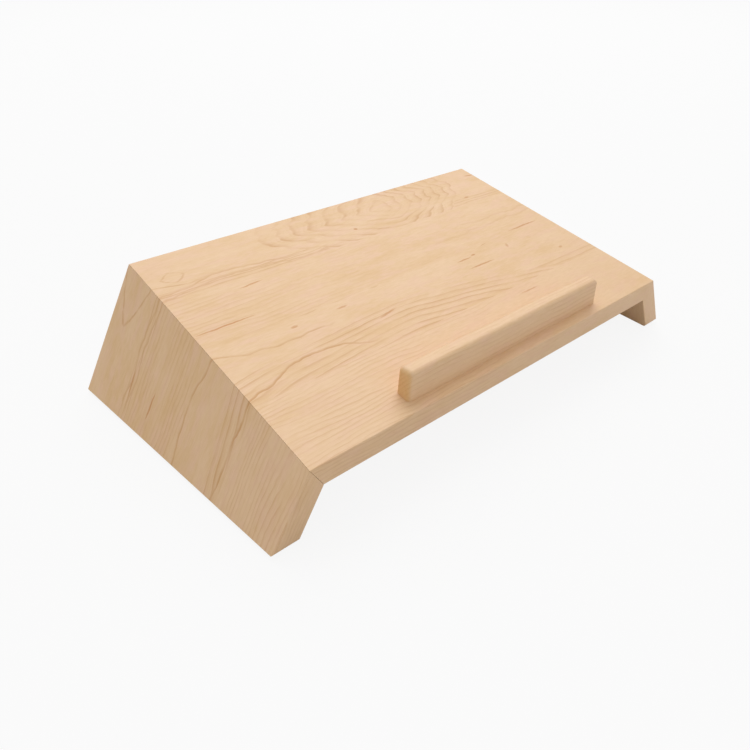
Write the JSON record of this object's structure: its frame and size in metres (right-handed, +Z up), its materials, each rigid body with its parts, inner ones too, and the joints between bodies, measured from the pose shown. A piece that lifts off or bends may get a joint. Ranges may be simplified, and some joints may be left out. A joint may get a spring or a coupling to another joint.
{
  "type": "sloped laptop stand",
  "caption": "Sloped hardwood desk stand with splayed, mitred side boards and a stop ledge at the front; it props a laptop or book at an angle and leaves room below.",
  "frame": {"origin": "on the desk surface, below the middle of the stand: the bottom centre of its bounding box", "axes": "+X to the right along the staves of the top, +Y from the low front with the stop ledge to the high back, +Z up"},
  "size_m": [0.5528, 0.272, 0.1095],
  "materials": {
    "maple_top": "satin oil, pale hard maple",
    "maple_side": "satin oil, pale hard maple",
    "maple_ledge": "satin oil, pale hard maple",
    "beech_biscuit": "compressed beech, unfinished",
    "screw_steel": "zinc plated",
    "pad_rubber": "matt"
  },
  "bodies": {
    "root": {"top_stave_1": "maple_top", "top_stave_2": "maple_top", "top_stave_3": "maple_top", "top_stave_4": "maple_top", "left_side_stave_1": "maple_side", "left_side_stave_2": "maple_side", "left_side_stave_3": "maple_side", "left_side_stave_4": "maple_side", "right_side_stave_1": "maple_side", "right_side_stave_2": "maple_side", "right_side_stave_3": "maple_side", "right_side_stave_4": "maple_side", "left_biscuit_1": "beech_biscuit", "left_biscuit_2": "beech_biscuit", "left_biscuit_3": "beech_biscuit", "left_biscuit_4": "beech_biscuit", "right_biscuit_1": "beech_biscuit", "right_biscuit_2": "beech_biscuit", "right_biscuit_3": "beech_biscuit", "right_biscuit_4": "beech_biscuit", "stop_ledge": "maple_ledge", "ledge_screw_1": "screw_steel", "ledge_screw_2": "screw_steel", "ledge_screw_3": "screw_steel", "left_front_pad": "pad_rubber", "left_back_pad": "pad_rubber", "right_front_pad": "pad_rubber", "right_back_pad": "pad_rubber"}
  },
  "joints": []
}
